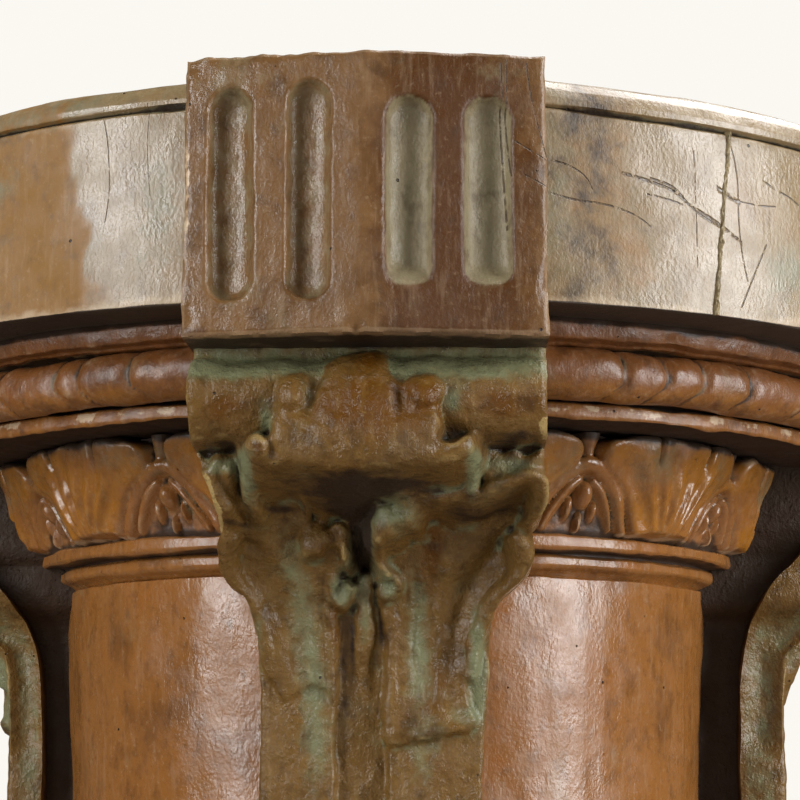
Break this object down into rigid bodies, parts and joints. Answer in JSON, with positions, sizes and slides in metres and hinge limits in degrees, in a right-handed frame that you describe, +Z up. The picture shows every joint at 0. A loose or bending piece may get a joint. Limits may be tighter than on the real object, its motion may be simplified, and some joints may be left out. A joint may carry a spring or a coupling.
{
  "type": "terracotta column",
  "caption": "Round pedestal column with a thick round top slab, fluted blocks on acanthus brackets, a leaf frieze under the slab, a plain shaft and a moulded round base.",
  "frame": {"origin": "centre of the flat underside", "axes": "+Z up the column's axis, the front block and bracket face -Y"},
  "size_m": [0.3978, 0.3978, 1.1],
  "materials": {
    "varnished_terracotta": "bronze-brown patina under a gloss varnish, worn paler on edges and greenish in recesses"
  },
  "bodies": {
    "root": {"column": "varnished_terracotta"}
  },
  "joints": []
}
